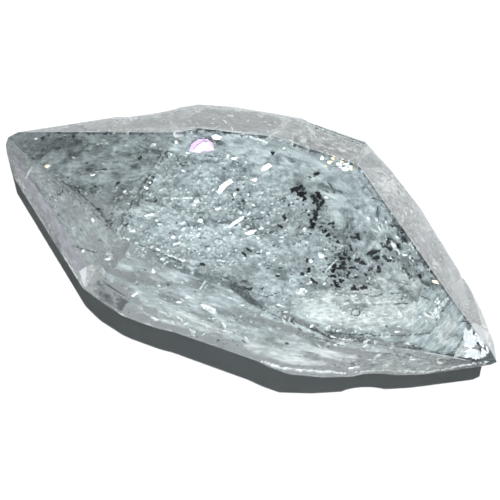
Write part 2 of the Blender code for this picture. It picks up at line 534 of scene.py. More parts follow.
def inclusion(name: str, mesh: Mesh) -> Object:
    """Make an object of a mesh inside the crystal and let it ride with the crystal.

    Args:
        name: the piece's name.
        mesh: its mesh.

    Returns:
        The piece.
    """
    piece = bpy.data.objects.new(name, mesh)
    bpy.context.scene.collection.objects.link(piece)
    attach(piece, "root")
    return piece


@dataclass
class Shards:
    """Gathers many small closed shards into one mesh.

    lean is how steeply a shard lies across the line of sight, at random. knobs are a lump's
    bumps: how high they are, as shares of its size, and how many there are along it.
    """
    name: str
    finishes: Sequence[Material]
    lean: float = 0.3
    lump_detail: int = 1
    knobs: Sequence[Pair] = ((0.45, 1.3), (0.25, 3.1))
    points: list[Vector] = field(default_factory=list)
    faces: list[tuple[int, ...]] = field(default_factory=list)
    slots: list[int] = field(default_factory=list)

    def add_plate(self, middle: Vector, normal: Vector, along: Vector, size_mm: Triple,
                  corners: int, rng: random.Random, slot: int = 0) -> None:
        """Add a thin lens-shaped shard with a ragged rim.

        Args:
            middle: where it lies.
            normal: its flat side's normal.
            along: the way of its length.
            size_mm: its half length, half width and half thickness.
            corners: how many corners its rim has.
            rng: the source of its raggedness.
            slot: the number of its finish.
        """
        across = normal.cross(along).normalized()
        along = across.cross(normal).normalized()
        rim = []
        for turn, reach in ragged_circle(corners, rng):
            rim.append(middle + (along * math.cos(turn) * size_mm[0] * reach
                                 + across * math.sin(turn) * size_mm[1] * reach) * MM)
        self.add_patch(rim, size_mm[2], slot)

    def add_patch(self, rim: Sequence[Vector], half_mm: float, slot: int = 0) -> None:
        """Add a thin lens-shaped shard with a rim of its own.

        Args:
            rim: the rim's points.
            half_mm: its half thickness.
            slot: the number of its finish.
        """
        first, corners = len(self.points), len(rim)
        middle = sum(rim, Vector()) / corners
        normal = Vector()
        for a, b in zip(rim, [*rim[1:], rim[0]]):
            normal += (a - middle).cross(b - middle)
        bulge = normal.normalized() * half_mm * MM
        self.points += [*rim, middle + bulge, middle - bulge]
        top, bottom = first + corners, first + corners + 1
        for i in range(corners):
            a, b = first + i, first + (i + 1) % corners
            self.faces += [(a, b, top), (b, a, bottom)]
            self.slots += [slot, slot]

    def add_seen(self, place: Spot, reach: Spot, turn: float, depth_mm: float, corners: int,
                 rng: random.Random, slot: int = 0, half_mm: float = 0.012) -> None:
        """Add a thin shard by how the photograph shows it, or none where it would stick out.

        A steep face squeezes what is seen through it, so the shard is made as much broader.

        Args:
            place: its middle in the photograph's pixels.
            reach: its half length and half width in pixels.
            turn: how far it is turned clockwise, in degrees.
            depth_mm: how deep it lies along the bent line of sight.
            corners: how many corners its rim has.
            rng: the source of its raggedness.
            slot: the number of its finish.
            half_mm: its half thickness.
        """
        lean = (rng.gauss(0, self.lean) * PIXEL_MM, rng.gauss(0, self.lean) * PIXEL_MM)
        rim = []
        for way, far in ragged_circle(corners, rng):
            along, across = reach[0] * far * math.cos(way), reach[1] * far * math.sin(way)
            corner = turned(place, along, across, math.radians(turn))
            rim.append(VIEW.inside(corner, depth_mm + lean[0] * along + lean[1] * across))
        if None not in rim:
            self.add_patch(rim, half_mm, slot)

    def add_lump(self, middle: Vector, radii_mm: Triple, turn: Matrix, rng: random.Random) -> None:
        """Add a knobbly lump.

        Args:
            middle: where it lies.
            radii_mm: its half sizes.
            turn: how it is turned.
            rng: the source of its knobs.
        """
        bm = bmesh.new()
        bmesh.ops.create_icosphere(bm, subdivisions=self.lump_detail, radius=1.0)
        shift = Vector((rng.uniform(0, 50), rng.uniform(0, 50), rng.uniform(0, 50)))
        first = len(self.points)
        for v in bm.verts:
            swell = 1.0
            for height, fineness in self.knobs:
                swell += height * noise.noise(v.co * fineness + shift)
            local = Vector([c * r for c, r in zip(v.co * swell, radii_mm)])
            self.points.append(middle + turn @ local * MM)
        for face in bm.faces:
            self.faces.append(tuple(first + v.index for v in face.verts))
            self.slots.append(0)
        bm.free()

    def build(self) -> Object:
        """Make the object and let it ride with the crystal."""
        mesh = bpy.data.meshes.new(self.name)
        mesh.from_pydata([tuple(p) for p in self.points], [], self.faces)
        for finish in self.finishes:
            mesh.materials.append(finish)
        mesh.polygons.foreach_set("material_index", self.slots)
        mesh.update()
        return inclusion(self.name, mesh)


def any_turn(rng: random.Random) -> Matrix:
    """Return a random rotation."""
    axis = Vector([rng.gauss(0, 1) for _ in range(3)]).normalized()
    return Matrix.Rotation(rng.uniform(0, 2 * math.pi), 3, axis)


@dataclass
class CrystalBody:
    """The crystal itself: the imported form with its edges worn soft."""
    finish: GrownQuartz = field(default_factory=GrownQuartz)
    wear_mm: float = 0.02
    least_edge_mm: float = 2.0
    least_angle: float = 20.0
    flat_angle: float = 0.3
    weld_mm: float = 0.0005
    merge_mm: float = 0.001

    def build(self) -> Object:
        """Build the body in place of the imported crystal.

        Returns:
            The body.
        """
        bm = bmesh.new()
        bm.from_mesh(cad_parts["crystal"].data)
        bmesh.ops.remove_doubles(bm, verts=bm.verts, dist=self.weld_mm * MM)
        bmesh.ops.dissolve_limit(bm, angle_limit=math.radians(self.flat_angle), verts=bm.verts,
                                 edges=bm.edges)
        worn = [e for e in bm.edges if e.is_manifold and e.calc_length() > self.least_edge_mm * MM
                and e.calc_face_angle() > math.radians(self.least_angle)]
        bmesh.ops.bevel(bm, geom=worn, offset=self.wear_mm * MM, offset_type="OFFSET", segments=2,
                        profile=0.5, affect="EDGES", clamp_overlap=False)
        bmesh.ops.remove_doubles(bm, verts=bm.verts, dist=self.merge_mm * MM)
        bmesh.ops.dissolve_degenerate(bm, dist=self.merge_mm * MM, edges=bm.edges)
        bmesh.ops.triangulate(bm, faces=bm.faces)
        mesh = bpy.data.meshes.new("crystal_body")
        bm.to_mesh(mesh)
        bm.free()
        mesh.materials.append(self.finish.material())
        body = bpy.data.objects.new("crystal_body", mesh)
        bpy.context.scene.collection.objects.link(body)
        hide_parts("crystal")
        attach(body, "root")
        return body


def oval(middle: Spot, reach: Spot, turn: float = 0.0, count: int = 20) -> list[Spot]:
    """Return the corners of an oval in pixels, turned clockwise by so many degrees."""
    ways = [2 * math.pi * i / count for i in range(count)]
    return [turned(middle, reach[0] * math.cos(way), reach[1] * math.sin(way), math.radians(turn))
            for way in ways]


def distance_in(spot: Spot, corners: Sequence[Spot]) -> float:
    """Return how far a pixel lies inside a closed outline, or minus how far outside.

    Args:
        spot: the pixel.
        corners: the outline's corners.

    Returns:
        The distance in pixels.
    """
    inside, nearest = False, math.inf
    x, y = spot
    for (ax, ay), (bx, by) in zip(corners, [*corners[1:], corners[0]]):
        if (ay > y) != (by > y) and x < (bx - ax) * (y - ay) / (by - ay) + ax:
            inside = not inside
        run = (bx - ax) ** 2 + (by - ay) ** 2
        along = min(1.0, max(0.0, ((x - ax) * (bx - ax) + (y - ay) * (by - ay)) / run))
        nearest = min(nearest, math.hypot(x - ax - along * (bx - ax), y - ay - along * (by - ay)))
    return nearest if inside else -nearest


def cloudy(place: Spot, size: float, shift: float) -> float:
    """Return smooth noise from about zero to one, with patches so many pixels across."""
    return 0.5 + 0.8 * noise.noise(Vector((place[0] / size, place[1] / size, shift)))


@dataclass(frozen=True)
class Veil:
    """One sheet as the photograph shows it: mostly a healed fracture, but a few are painted shade and
    painted reflections.

    outline is in the photograph's pixels. depth_mm is how far below the surface its left and
    right ends are, along the line of sight. fade is how many pixels its rim takes to thin out.
    streak is the direction that its wisps run, in degrees clockwise, and stretch how long they are.
    mesh_step is how many pixels apart its mesh's points are.
    """
    outline: Sequence[Spot]
    frost: Frost
    thickness: float
    depth_mm: Span
    fade: float = 14.0
    streak: float = 0.0
    stretch: float = 1.6
    mesh_step: float = 3.0


LEFT_STRIP = ((12, 135), (40, 127), (100, 119), (160, 112), (203, 104), (185, 122), (170, 131), (60, 133))
RIGHT_STRIP = ((397, 173), (463, 279), (447, 288), (418, 250), (405, 222), (372, 192), (372, 170))


@dataclass(frozen=True)
class ChanceVeils:
    """How the veils vary on the sides that the photograph doesn't show, in pixels and degrees."""
    per_side: int = 6
    spread: Spot = (95, 38)
    half_length: Span = (30, 85)
    half_width: Span = (14, 34)
    turn: float = 25
    frosts: Sequence[Frost] = (Frost.BLUE, Frost.GREY, Frost.WHITE, Frost.BLUE)
    depth_mm: Span = (0.4, 1.4)
    slope_mm: float = 0.8
    thickness: Span = (0.55, 0.85)
    fade: float = 16
    streak: float = 15
    stretch: Span = (1.4, 2.6)
    mesh_step: float = 4.0

    def make(self, rng: random.Random) -> Veil:
        """Make up a veil.

        Args:
            rng: the source of chance.

        Returns:
            The veil.
        """
        middle = (rng.gauss(PICTURE_SIDE / 2, self.spread[0]), rng.gauss(PICTURE_SIDE / 2, self.spread[1]))
        reach = (rng.uniform(*self.half_length), rng.uniform(*self.half_width))
        outline = oval(middle, reach, rng.uniform(-self.turn, self.turn))
        frost = rng.choice(self.frosts)
        depth = rng.uniform(*self.depth_mm)
        return Veil(outline, frost, rng.uniform(*self.thickness),
                    (depth, depth + rng.uniform(0, self.slope_mm)), self.fade,
                    rng.uniform(-self.streak, self.streak), rng.uniform(*self.stretch), self.mesh_step)


@dataclass
class Veils:
    """The healed fractures: thin wavy sheets of frost inside the crystal, and a few sheets of painted
    shade and painted reflection just under single faces.

    Each sheet has folds and finer ripples, as shares of its depth, and patches of more and less
    frost. Sheets that would meet at the crystal's middle keep apart by share_step.
    """
    sheet_mm: float = 0.006
    seed: int = 3
    share_step: float = 0.003
    fold_size: float = 30
    fold_share: float = 0.35
    ripple_size: float = 9
    ripple_share: float = 0.15
    patch_size: float = 24
    patch_least: float = 0.75
    patch_range: float = 0.5
    pattern_apart: float = 7.0
    by_chance: ChanceVeils = field(default_factory=ChanceVeils)
    veils: Sequence[Veil] = (
        Veil(((60, 150), (178, 134), (355, 160), (382, 190), (438, 280), (452, 298), (422, 352),
             (330, 341), (124, 242)), Frost.BLUE, 0.75, (1.0, 2.2), 8, 10, 1.7, 4.0),
        Veil(((60, 129), (178, 123), (215, 123), (250, 128), (300, 140), (357, 160), (388, 194),
             (412, 228), (446, 282), (464, 310), (440, 306), (424, 288), (372, 228), (340, 196),
             (285, 174), (180, 156), (70, 146)), Frost.BLUE, 0.78, (0.5, 0.6), 5, 15, 2.0, 2.0),
        Veil(oval((205, 205), (100, 62), 10), Frost.BLUE, 0.85, (0.9, 1.9), 26, 10, 1.5),
        Veil(oval((165, 222), (52, 32), 18), Frost.BLUE, 0.9, (0.5, 1.0), 18, 8, 1.8),
        Veil(oval((150, 212), (38, 20), 10), Frost.WHITE, 0.5, (0.35, 0.6), 14, 8, 2.0),
        Veil(oval((250, 245), (70, 34), 20), Frost.BLUE, 0.75, (0.7, 1.3), 22, 15, 1.6),
        Veil(oval((300, 185), (72, 38), 12), Frost.BLUE, 0.95, (0.9, 1.5), 20, 12, 1.6),
        Veil(((10, 141), (26, 134), (178, 134), (153, 160), (120, 205), (98, 209), (32, 168)),
             Frost.GREY, 0.85, (0.5, 1.6), 5, -5, 1.8),
        Veil(oval((95, 165), (84, 32), -4), Frost.BLUE, 0.85, (0.35, 0.8), 14, -8, 2.0),
        Veil(oval((110, 165), (48, 26), -15), Frost.SMOKE, 0.3, (0.7, 1.2), 16, -8, 1.7),
        Veil(((20, 150), (100, 208), (126, 243), (88, 290), (60, 254), (20, 186)),
             Frost.BLUE, 0.62, (0.4, 1.1), 6, 50, 2.0),
        Veil(((88, 289), (124, 243), (236, 283), (330, 341), (290, 371), (120, 314)),
             Frost.BLUE, 0.5, (0.4, 0.9), 9, 19, 4.0),
        Veil(((122, 317), (137, 294), (170, 296), (240, 322), (262, 364), (160, 331)),
             Frost.WHITE, 0.52, (0.25, 0.5), 11, 19, 5.0),
        Veil(((222, 352), (255, 322), (330, 340), (385, 350), (350, 376), (290, 374)),
             Frost.WHITE, 0.55, (0.3, 0.5), 11, 12, 5.0),
        Veil(oval((360, 308), (84, 38), 3), Frost.WHITE, 0.85, (0.7, 1.2), 20, 0, 2.2),
        Veil(oval((425, 315), (36, 30), -30), Frost.WHITE, 0.95, (0.4, 0.8), 16, -35, 2.0),
        Veil(oval((397, 285), (42, 34), 20), Frost.WHITE, 0.75, (1.0, 1.6), 16, 20, 1.6),
        Veil(oval((340, 205), (44, 30), 30), Frost.BLUE, 0.75, (1.0, 1.8), 14, 20, 1.6),
        Veil(oval((335, 255), (60, 34), 20), Frost.BLUE, 0.8, (1.1, 1.7), 16, 10, 1.6),
        Veil(oval((385, 190), (18, 15), 40), Frost.WHITE, 0.8, (0.4, 0.7), 10, 55, 1.6),
        Veil(oval((402, 236), (16, 11), 55), Frost.SMOKE, 0.85, (0.5, 0.6), 8, 55, 1.5),
        Veil(RIGHT_STRIP, Frost.BLUE, 0.7, (0.4, 0.5), 2, 59, 2.5),
        # Painted shade: a dark sheet under the steep far face on the right.
        Veil(RIGHT_STRIP, Frost.DUSK, 0.9, (0.7, 0.8), 2, 59, 2.0),
        Veil(oval((425, 245), (26, 12), 62), Frost.LAVENDER, 0.8, (0.2, 0.25), 6, 59, 2.0),
        # Painted shade: dark sheets under the steep far face at the top.
        Veil(((184, 120), (203, 106), (240, 108), (286, 118), (279, 129), (266, 137), (240, 132)),
             Frost.DUSK, 0.95, (0.4, 0.6), 3, 5, 2.2),
        Veil(((160, 128), (205, 106), (262, 110), (286, 118), (280, 130), (240, 134)),
             Frost.DUSK, 1.1, (0.6, 1.0), 3, 5, 2.4),
        # Painted shade: a dark sheet under the steep far face on the left.
        Veil(LEFT_STRIP, Frost.DUSK, 1.1, (0.4, 0.7), 2, -7, 3.0),
        Veil(LEFT_STRIP, Frost.BLUE, 0.5, (0.2, 0.3), 2, -7, 3.0),
        Veil(((280, 130), (288, 119), (368, 145), (358, 160), (300, 150)), Frost.GREY, 1.1, (0.4, 0.6),
             3, 17, 4.0),
        # Painted shade: a dark sheet under the far faces near the top right.
        Veil(((372, 149), (358, 160), (359, 168), (380, 169), (396, 171)), Frost.DUSK, 1.3, (0.3, 0.4),
             2, 17, 1.2),
        Veil(((78, 272), (92, 262), (99, 268), (85, 291)), Frost.WHITE, 1.1, (0.2, 0.2),
             1.5, 60, 1.2, 1.5),
        Veil(((86, 290), (98, 276), (134, 299), (121, 314)), Frost.SMOKE, 0.6, (0.2, 0.3),
             2, 30, 1.4, 2.0),
        Veil(((9, 148), (30, 168), (24, 182), (14, 176)), Frost.LAVENDER, 0.75, (0.15, 0.2),
             2, 60, 1.2, 2.0),
        Veil(((18, 180), (30, 172), (92, 268), (80, 282)), Frost.LAVENDER, 0.8, (0.15, 0.2),
             3, 58, 3.0, 2.0),
        # Painted reflection: white sheets just under the right tip's faces, for the flash of light off
        # them.
        Veil(((468, 330), (480, 346), (486, 360), (450, 359), (462, 338)),
             Frost.WHITE, 1.3, (0.3, 0.35), 2, -30, 1.2, 1.5),
        Veil(((468, 319), (476, 320), (492, 336), (492, 350), (484, 347)),
             Frost.WHITE, 1.4, (0.3, 0.3), 2, 60, 1.2, 1.5),
        Veil(((420, 280), (452, 292), (474, 324), (487, 345), (492, 360), (440, 358), (405, 345)),
             Frost.BLUE, 1.0, (0.5, 0.7), 4, -40, 3.0, 2.0),
        Veil(((448, 301), (468, 325), (463, 338), (450, 352), (424, 350), (433, 323)),
             Frost.WHITE, 0.8, (0.3, 0.4), 8, -50, 3.5, 2.0),
        Veil(oval((369, 267), (17, 9), -10), Frost.LAVENDER, 0.75, (0.45, 0.5), 6, -10, 1.5, 2.0),
        Veil(((465, 284), (491, 333), (474, 319), (470, 292)), Frost.GREY, 0.8, (0.2, 0.2),
             2, 60, 1.6, 2.0),
        Veil(((372, 356), (395, 352), (433, 362), (494, 363), (425, 373), (345, 374)),
             Frost.GREY, 0.75, (0.2, 0.25), 2, -5, 3.0, 2.0),
        Veil(((205, 272), (222, 275), (240, 283), (262, 302), (273, 316), (260, 313), (245, 303),
             (230, 291), (214, 282)), Frost.SMOKE, 0.75, (0.2, 0.25), 3, 35, 2.0, 2.0),
    )

    def build(self) -> list[Object]:
        """Build the sheets, those of one frost joined in one mesh.

        Returns:
            The meshes.
        """
        sheets = {frost: self.new_sheets() for frost in Frost}
        for number, veil in enumerate(self.veils):
            self.add_sheet(sheets[veil.frost], number, veil, VIEW)
        rng = random.Random(self.seed)
        for number, side in enumerate(SIDES, len(self.veils)):
            for _ in range(self.by_chance.per_side):
                veil = self.by_chance.make(rng)
                self.add_sheet(sheets[veil.frost], number, veil, side)
        return [self.finished(frost, bm) for frost, bm in sheets.items()]

    def new_sheets(self) -> BMesh:
        """Return an empty mesh with the values that the frost's material reads."""
        bm = bmesh.new()
        bm.verts.layers.float.new("thickness")
        bm.verts.layers.float_vector.new("lie")
        return bm

    def finished(self, frost: Frost, bm: BMesh) -> Object:
        """Turn the sheets of one frost into a piece.

        Args:
            frost: their frost.
            bm: the sheets.

        Returns:
            The piece.
        """
        bmesh.ops.delete(bm, geom=[v for v in bm.verts if not v.link_faces], context="VERTS")
        name = "veils_" + frost.name.lower()
        mesh = bpy.data.meshes.new(name)
        bm.to_mesh(mesh)
        bm.free()
        mesh.polygons.foreach_set("use_smooth", [True] * len(mesh.polygons))
        mesh.materials.append(HealedFracture(frost).material())
        return inclusion(name, mesh)

    def add_sheet(self, bm: BMesh, number: int, veil: Veil, view: Viewpoint) -> None:
        """Add one sheet, closed all round.

        Args:
            bm: the mesh that gets it.
            number: which pattern of folds it has.
            veil: the veil.
            view: from where its outline is seen.
        """
        xs, ys = [x for x, _ in veil.outline], [y for _, y in veil.outline]
        columns = math.ceil((max(xs) - min(xs)) / veil.mesh_step)
        rows = math.ceil((max(ys) - min(ys)) / veil.mesh_step)
        back = view.axes()[2]
        grid = {}
        for i in range(columns + 1):
            px = min(xs) + i * veil.mesh_step
            depth = veil.depth_mm[0] + (veil.depth_mm[1] - veil.depth_mm[0]) * i / columns
            for j in range(rows + 1):
                place = (px, min(ys) + j * veil.mesh_step)
                reach = distance_in(place, veil.outline)
                if reach < -veil.mesh_step:
                    continue
                fold = self.fold_share * (cloudy(place, self.fold_size, number) - 0.5)
                ripple = self.ripple_share * (cloudy(place, self.ripple_size, number) - 0.5)
                spot = view.inside(place, depth * (1 + fold + ripple), 0.5 - self.share_step * number)
                if spot is not None:
                    rim = min(1.0, max(0.0, reach / veil.fade))
                    grid[i, j] = self.add_pair(bm, spot, back, veil, number, place, rim)
        close_sheet(bm, grid)

    def add_pair(self, bm: BMesh, spot: Vector, back: Vector, veil: Veil, number: int,
                 place: Spot, rim: float) -> list[BMVert]:
        """Add the points above and below one place of a sheet.

        Args:
            bm: the mesh that gets them.
            spot: the place in the crystal.
            back: the way to the viewer.
            veil: the veil.
            number: which pattern of patches it has.
            place: the place in pixels.
            rim: how far in from the sheet's rim it is, from zero to one.

        Returns:
            The upper and the lower point.
        """
        thickness, lie = bm.verts.layers.float["thickness"], bm.verts.layers.float_vector["lie"]
        turn = math.radians(veil.streak)
        patch = self.patch_least + self.patch_range * cloudy(place, self.patch_size, number + 0.5)
        along = (place[0] * math.cos(turn) + place[1] * math.sin(turn)) / veil.stretch
        across = place[1] * math.cos(turn) - place[0] * math.sin(turn)
        pair = []
        for side in (0.5, -0.5):
            v = bm.verts.new(spot + back * side * self.sheet_mm * MM)
            v[thickness] = veil.thickness * patch * rim - (1 - rim)
            v[lie] = Vector((along, across, self.pattern_apart * number)) * PIXEL_MM * MM
            pair.append(v)
        return pair


def close_sheet(bm: BMesh, grid: dict[tuple[int, int], list[BMVert]]) -> None:
    """Fill a grid of doubled points with faces above and below, and close its rim.

    Args:
        bm: the mesh.
        grid: the upper and lower point of each place in the grid.
    """
    cells = {(i, j) for i, j in grid if {(i + 1, j), (i + 1, j + 1), (i, j + 1)} <= grid.keys()}
    while pinched := touching_corners(cells):
        cells -= pinched
    rims = set()
    for i, j in sorted(cells):
        ring = [(i, j), (i + 1, j), (i + 1, j + 1), (i, j + 1)]
        bm.faces.new([grid[place][1] for place in ring])
        bm.faces.new([grid[place][0] for place in reversed(ring)])
        for a, b in zip(ring, ring[1:] + ring[:1]):
            if (b, a) in rims:
                rims.remove((b, a))
            else:
                rims.add((a, b))
    for a, b in sorted(rims):
        bm.faces.new([grid[b][1], grid[a][1], grid[a][0], grid[b][0]])


def touching_corners(cells: set[tuple[int, int]]) -> set[tuple[int, int]]:
    """Find cells that meet a neighbour only at a corner, where a sheet wouldn't be closed.

    Args:
        cells: the cells of a grid.

    Returns:
        The ones to leave out.
    """
    found = set()
    for i, j in cells:
        for side in (-1, 1):
            if (i + 1, j + side) in cells and (i + 1, j) not in cells and (i, j + side) not in cells:
                found.add((i, j))
    return found


@dataclass(frozen=True)
class SpeckField:
    """Where specks lie: an oval in the photograph's pixels, and how many and how big."""
    middle: Spot
    reach: Spot
    count: int
    size: float
    depth_mm: Span
    frost: Frost = Frost.WHITE
    turn: float = -20.0
    stretch: float = 1.8

    def chance_place(self, rng: random.Random) -> Spot:
        """Return a place in the oval, by chance."""
        radius, angle = math.sqrt(rng.random()), rng.uniform(0, 2 * math.pi)
        return (self.middle[0] + self.reach[0] * radius * math.cos(angle),
                self.middle[1] + self.reach[1] * radius * math.sin(angle))


@dataclass
class Specks:
    """The flat gas bubbles in the veils, which show as white and dull specks."""
    seed: int = 5
    size_spread: float = 0.45
    turn_spread: float = 22
    corners: Sequence[int] = (5, 6)
    fields: Sequence[SpeckField] = (
        SpeckField((200, 210), (95, 58), 110, 0.75, (0.3, 1.2)),
        SpeckField((165, 222), (55, 34), 50, 0.75, (0.3, 0.7)),
        SpeckField((255, 225), (60, 40), 60, 0.8, (0.4, 1.0)),
        SpeckField((200, 212), (95, 58), 900, 0.7, (0.3, 1.6), Frost.BLUE),
        SpeckField((230, 225), (180, 100), 700, 0.7, (0.3, 2.5), Frost.BLUE),
        SpeckField((250, 235), (230, 120), 190, 0.6, (0.2, 1.6), Frost.SMOKE, 10, 2.2),
        SpeckField((310, 235), (60, 50), 110, 0.7, (0.2, 1.2), Frost.SMOKE, 0, 2.2),
        SpeckField((250, 235), (230, 120), 480, 0.75, (0.2, 2.0), Frost.GREY, 10, 2.4),
        SpeckField((100, 180), (90, 60), 130, 0.7, (0.2, 1.0), Frost.SMOKE, -10, 2.2),
        SpeckField((120, 165), (80, 35), 40, 0.8, (0.3, 0.9), Frost.WHITE, 0, 2.2),
        SpeckField((380, 320), (70, 30), 110, 0.9, (0.3, 0.8), Frost.WHITE, 0, 2.4),
        SpeckField((225, 119), (60, 12), 60, 0.6, (0.2, 0.38), Frost.WHITE, 5, 2.6),
        SpeckField((225, 119), (70, 13), 120, 0.8, (0.2, 0.38), Frost.SMOKE, 5, 2.6),
        SpeckField((100, 126), (80, 9), 40, 0.6, (0.2, 0.38), Frost.WHITE, -7, 2.6),
        SpeckField((100, 126), (80, 9), 80, 0.7, (0.2, 0.38), Frost.SMOKE, -7, 2.6),
        SpeckField((330, 140), (40, 14), 90, 0.7, (0.2, 0.5), Frost.WHITE, 17, 3.0),
        SpeckField((330, 140), (40, 14), 90, 0.7, (0.2, 0.5), Frost.SMOKE, 17, 3.0),
        SpeckField((415, 225), (40, 55), 170, 0.9, (0.2, 0.5), Frost.WHITE, 55, 2.4),
        SpeckField((415, 225), (40, 55), 110, 0.8, (0.2, 0.5), Frost.SMOKE, 55, 2.4),
        SpeckField((390, 187), (16, 12), 70, 1.6, (0.3, 0.6), Frost.WHITE, 40, 1.8),
        SpeckField((55, 225), (40, 55), 60, 0.7, (0.2, 0.5), Frost.WHITE, 50, 2.0),
        SpeckField((395, 364), (70, 8), 50, 0.8, (0.2, 0.4), Frost.WHITE, -5, 3.0),
        SpeckField((395, 362), (70, 8), 50, 0.7, (0.2, 0.4), Frost.SMOKE, -5, 3.0),
        SpeckField((455, 320), (30, 30), 50, 0.7, (0.2, 0.4), Frost.GREY, -40, 3.0),
        SpeckField((200, 320), (110, 24), 60, 0.8, (0.2, 0.5), Frost.WHITE, 19, 3.0),
        SpeckField((355, 280), (60, 40), 70, 0.9, (0.4, 1.2), Frost.WHITE, 0, 1.8),
    )

    def build(self) -> Object:
        """Build the specks as one mesh.

        Returns:
            The mesh.
        """
        rng = random.Random(self.seed)
        kinds = list(Frost)
        shards = Shards("gas_films", [GasFilm(kind).material() for kind in kinds])
        for area in self.fields:
            for _ in range(area.count):
                place = area.chance_place(rng)
                size = area.size * math.exp(rng.gauss(0, self.size_spread))
                turn = area.turn + rng.gauss(0, self.turn_spread)
                shards.add_seen(place, (size * area.stretch, size), turn, rng.uniform(*area.depth_mm),
                                rng.choice(self.corners), rng, kinds.index(area.frost))
        return shards.build()


@dataclass(frozen=True)
class Trace:
    """A fine line that the photograph shows, mostly where the rim of a healed crack is seen edge-on.

    points are in the photograph's pixels, width is in pixels, and gaps is the share left open.
    """
    points: Sequence[Spot]
    width: float
    gaps: float
    frost: Frost = Frost.SMOKE


@dataclass
class Traces:
    """The fine dark and pale lines, each a crumbling row of slivers, with sizes in pixels."""
    seed: int = 13
    depth_mm: float = 0.18
    half_mm: float = 0.014
    apart: float = 1.3
    jitter: float = 0.35
    half_length: Span = (1.1, 2.0)
    width_share: Span = (0.6, 1.2)
    corners: int = 6
    traces: Sequence[Trace] = (
        # These pale lines run just inside the lower edge and make it look bright.
        Trace(((122, 315), (150, 325), (210, 344), (235, 353), (278, 367)), 1.8, 0.05, Frost.WHITE),
        Trace(((278, 367), (300, 370), (345, 373)), 1.6, 0.1, Frost.WHITE),
        Trace(((355, 372), (380, 370), (430, 372), (460, 366), (490, 361)), 0.9, 0.25, Frost.WHITE),
        Trace(((64, 256), (82, 286)), 1.0, 0.1, Frost.WHITE),
        Trace(((16, 178), (24, 188)), 1.1, 0.1, Frost.WHITE),
        Trace(((25, 179), (32, 167)), 1.2, 0.05, Frost.WHITE),
        Trace(((60, 134), (100, 132), (130, 131), (176, 130)), 0.7, 0.4),
        Trace(((62, 181), (80, 193), (88, 201), (97, 210), (110, 225), (118, 238)), 0.9, 0.35),
        Trace(((138, 245), (150, 249), (165, 255), (187, 265)), 0.8, 0.3),
        Trace(((165, 254), (185, 261)), 1.2, 0.3, Frost.WHITE),
        Trace(((220, 276), (232, 281), (246, 291), (262, 308), (276, 316), (292, 322), (302, 332)),
              0.9, 0.25),
        Trace(((252, 293), (266, 297), (280, 292)), 0.7, 0.2),
        Trace(((240, 132), (250, 137), (262, 140), (268, 143)), 1.4, 0.05, Frost.WHITE),
        Trace(((268, 137), (279, 131)), 0.8, 0.1, Frost.WHITE),
        Trace(((184, 136), (195, 136), (205, 139)), 1.0, 0.1, Frost.LAVENDER),
        Trace(((323, 128), (345, 134), (367, 145)), 0.7, 0.3),
        Trace(((322, 135), (342, 140), (362, 149)), 0.7, 0.3),
        Trace(((326, 139), (345, 146), (358, 152)), 0.7, 0.2, Frost.WHITE),
        Trace(((322, 148), (340, 153), (356, 160)), 0.7, 0.3),
        Trace(((342, 160), (350, 162), (357, 163)), 1.1, 0.1),
        Trace(((380, 170), (390, 178), (398, 186)), 1.1, 0.2, Frost.WHITE),
        Trace(((372, 198), (385, 202), (398, 208), (408, 218)), 0.9, 0.4),
        Trace(((403, 222), (410, 224), (408, 218)), 1.0, 0.1),
        Trace(((410, 240), (418, 252), (425, 268)), 1.0, 0.1),
        Trace(((403, 267), (411, 277)), 1.2, 0.1),
        Trace(((328, 182), (333, 188), (335, 193)), 0.9, 0.1),
        Trace(((345, 290), (370, 296), (400, 293), (430, 288)), 0.6, 0.45),
        Trace(((395, 305), (401, 303), (408, 304)), 0.8, 0.05),
        Trace(((420, 296), (430, 300)), 1.0, 0.1),
        Trace(((440, 284), (449, 291)), 1.2, 0.05),
        Trace(((351, 311), (354, 308), (359, 309), (360, 313), (357, 316), (352, 315), (351, 311)),
              0.6, 0.1),
        Trace(((326, 331), (333, 333), (341, 334), (360, 335), (372, 333)), 0.9, 0.3),
        Trace(((310, 336), (322, 339), (334, 343), (344, 346)), 0.8, 0.25),
        Trace(((336, 338), (346, 342), (360, 338), (380, 335), (402, 336), (430, 333)), 0.7, 0.35),
        Trace(((330, 336), (345, 340), (356, 340)), 0.8, 0.3, Frost.WHITE),
        # Painted highlight: a white line along the edge beside the right tip, where the edge catches the
        # light.
        Trace(((448, 298), (440, 306), (433, 318), (426, 321)), 2.2, 0.1, Frost.WHITE),
        Trace(((450, 302), (442, 312), (436, 320)), 0.8, 0.2),
        Trace(((463, 322), (473, 320), (482, 326), (491, 334)), 0.8, 0.2),
        Trace(((450, 355), (458, 346), (464, 336)), 0.8, 0.3),
        Trace(((383, 355), (396, 352), (415, 357), (435, 361), (470, 361), (492, 362)), 0.7, 0.35),
        Trace(((468, 290), (474, 305), (486, 322)), 0.7, 0.3),
        Trace(((40, 152), (48, 146), (57, 142)), 0.7, 0.3),
        Trace(((80, 152), (84, 147), (89, 144)), 0.8, 0.1),
        Trace(((95, 170), (106, 169)), 0.8, 0.1),
        Trace(((96, 171.5), (105, 171)), 0.8, 0.1, Frost.WHITE),
        Trace(((96, 144), (108, 143)), 0.8, 0.1, Frost.WHITE),
        Trace(((72, 246), (84, 249), (97, 253)), 0.9, 0.2),
        Trace(((176, 156), (182, 166), (195, 164)), 0.8, 0.3),
        Trace(((160, 198), (180, 198), (192, 198)), 1.0, 0.3, Frost.WHITE),
        Trace(((205, 156), (216, 156), (224, 155)), 0.8, 0.2),
        Trace(((325, 272), (333, 264), (336, 260)), 0.9, 0.05, Frost.WHITE),
        Trace(((98, 306), (112, 313), (121, 317)), 0.8, 0.2, Frost.WHITE),
    )

